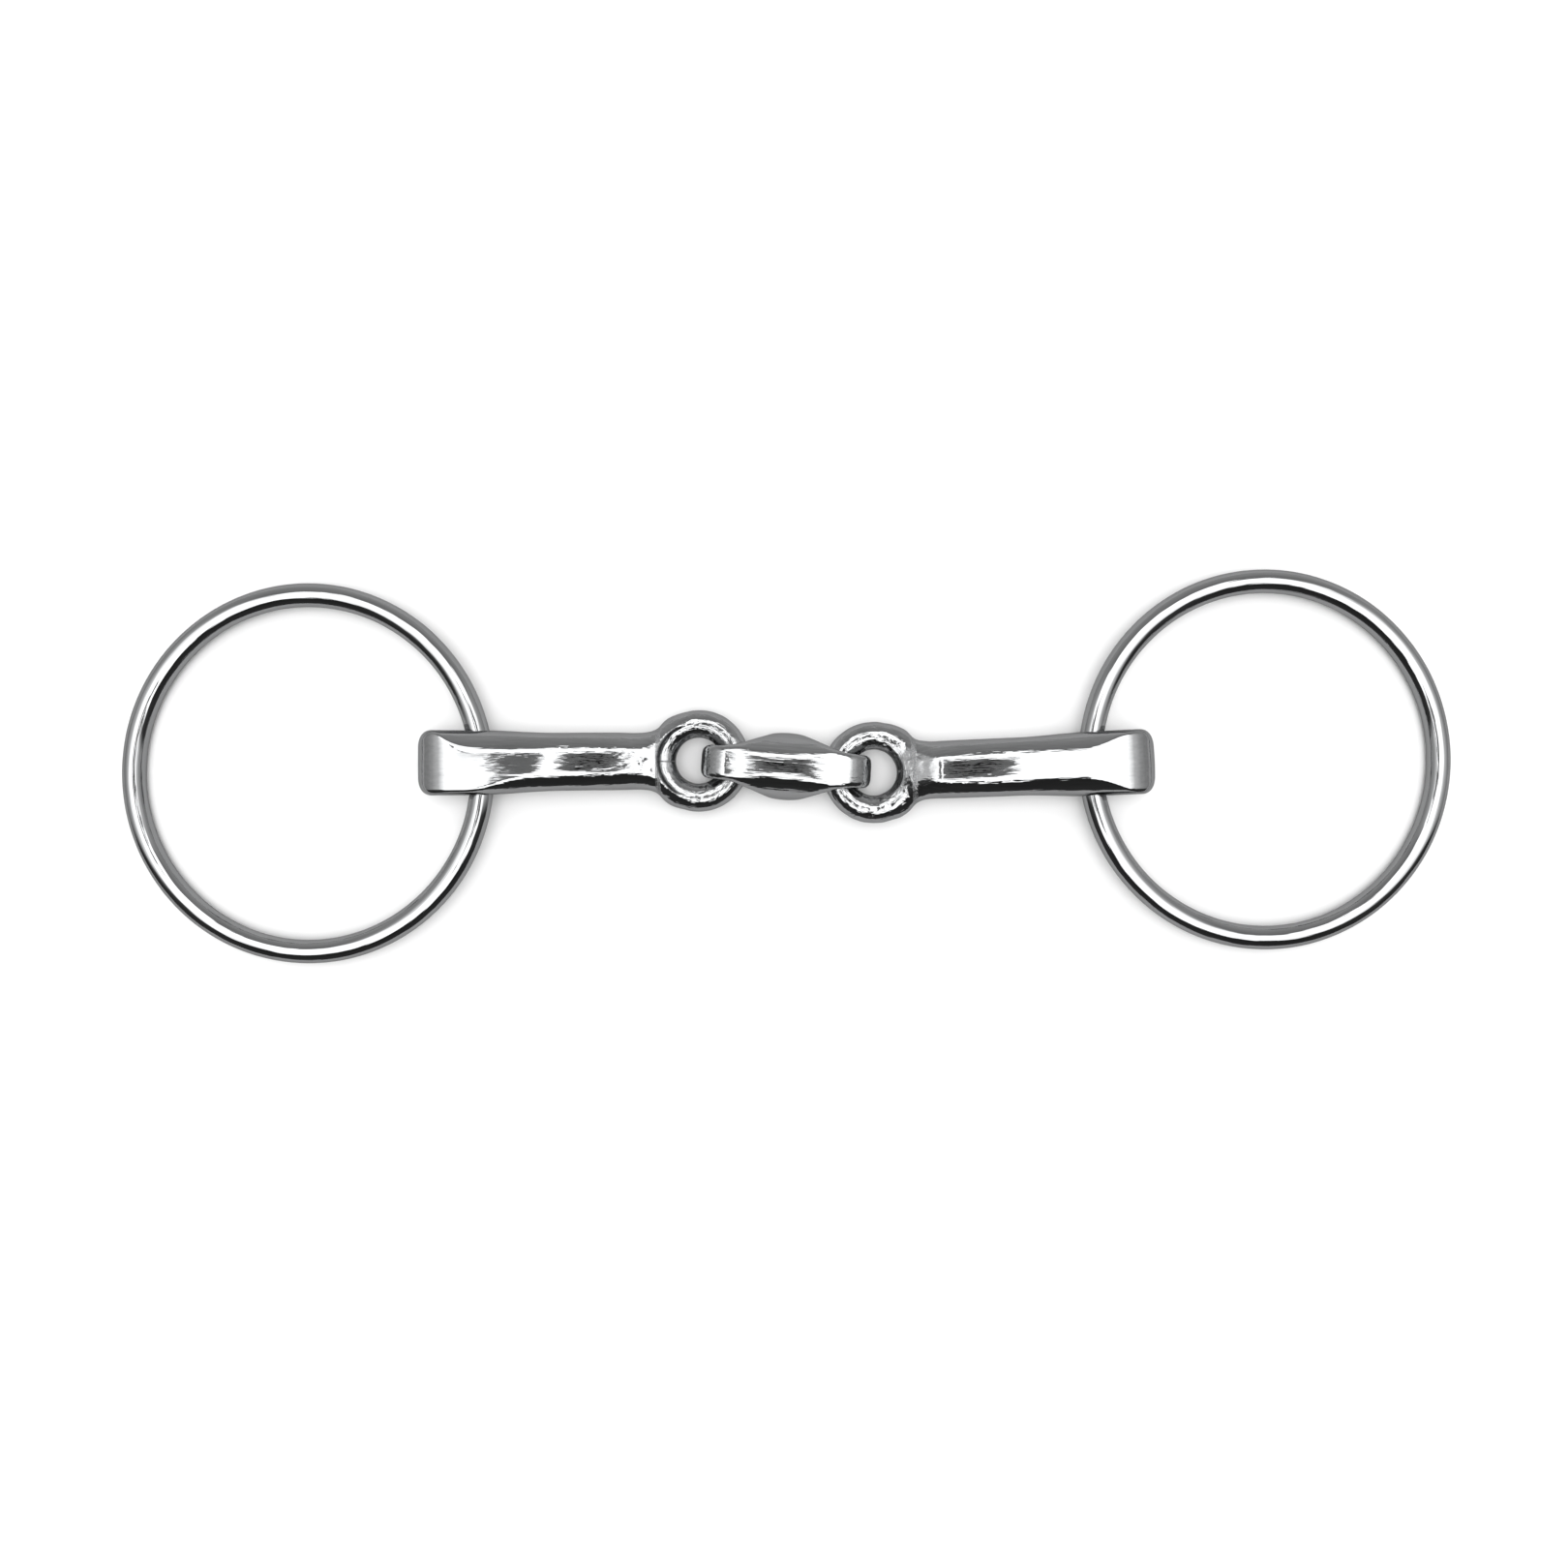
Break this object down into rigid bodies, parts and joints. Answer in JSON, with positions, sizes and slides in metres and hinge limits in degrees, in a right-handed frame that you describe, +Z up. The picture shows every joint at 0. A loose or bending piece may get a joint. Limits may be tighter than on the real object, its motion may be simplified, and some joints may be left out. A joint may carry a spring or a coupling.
{
  "type": "loose ring snaffle bit",
  "caption": "Loose-ring snaffle bit lying flat: large round-wire rings run through the butts of short cannons that hinge on a lozenge-shaped centre link.",
  "frame": {"origin": "middle of the bit's box on the plane that the bit lies on", "axes": "+X along the mouthpiece to the right-hand ring, +Z up from the plane it lies on"},
  "size_m": [0.2891, 0.0853, 0.017],
  "materials": {
    "ring_steel": "mirror-polished stainless steel wire with fine lengthwise streaks",
    "mouthpiece_steel": "mirror-polished stainless steel with fine lengthwise grinding waves",
    "link_steel": "mirror-polished stainless steel with fine lengthwise grinding waves"
  },
  "bodies": {
    "centre_link": {"centre_link": "link_steel"},
    "left_cannon": {"left_cannon": "mouthpiece_steel"},
    "right_cannon": {"right_cannon": "mouthpiece_steel"},
    "left_ring": {"left_ring": "ring_steel"},
    "right_ring": {"right_ring": "ring_steel"}
  },
  "joints": [
    {"name": "left_cannon_fold", "type": "hinge", "parent": "centre_link", "child": "left_cannon", "pos_m": [-0.01876, 0.00125, 0.0085], "axis": [0, 0, 1], "range_deg": [-54.3, 45.7]},
    {"name": "right_cannon_fold", "type": "hinge", "parent": "centre_link", "child": "right_cannon", "pos_m": [0.01876, -0.00125, 0.0085], "axis": [0, 0, 1], "range_deg": [-56.1, 43.9]},
    {"name": "left_ring_swing", "type": "hinge", "parent": "left_cannon", "child": "left_ring", "pos_m": [-0.06616, 0.00083, 0.0085], "axis": [-0.0087, 1, 0], "range_deg": [-115.6, 124.4]},
    {"name": "right_ring_swing", "type": "hinge", "parent": "right_cannon", "child": "right_ring", "pos_m": [0.06612, 0.00066, 0.0085], "axis": [0.0401, -0.9992, 0], "range_deg": [-115.6, 124.4]}
  ]
}
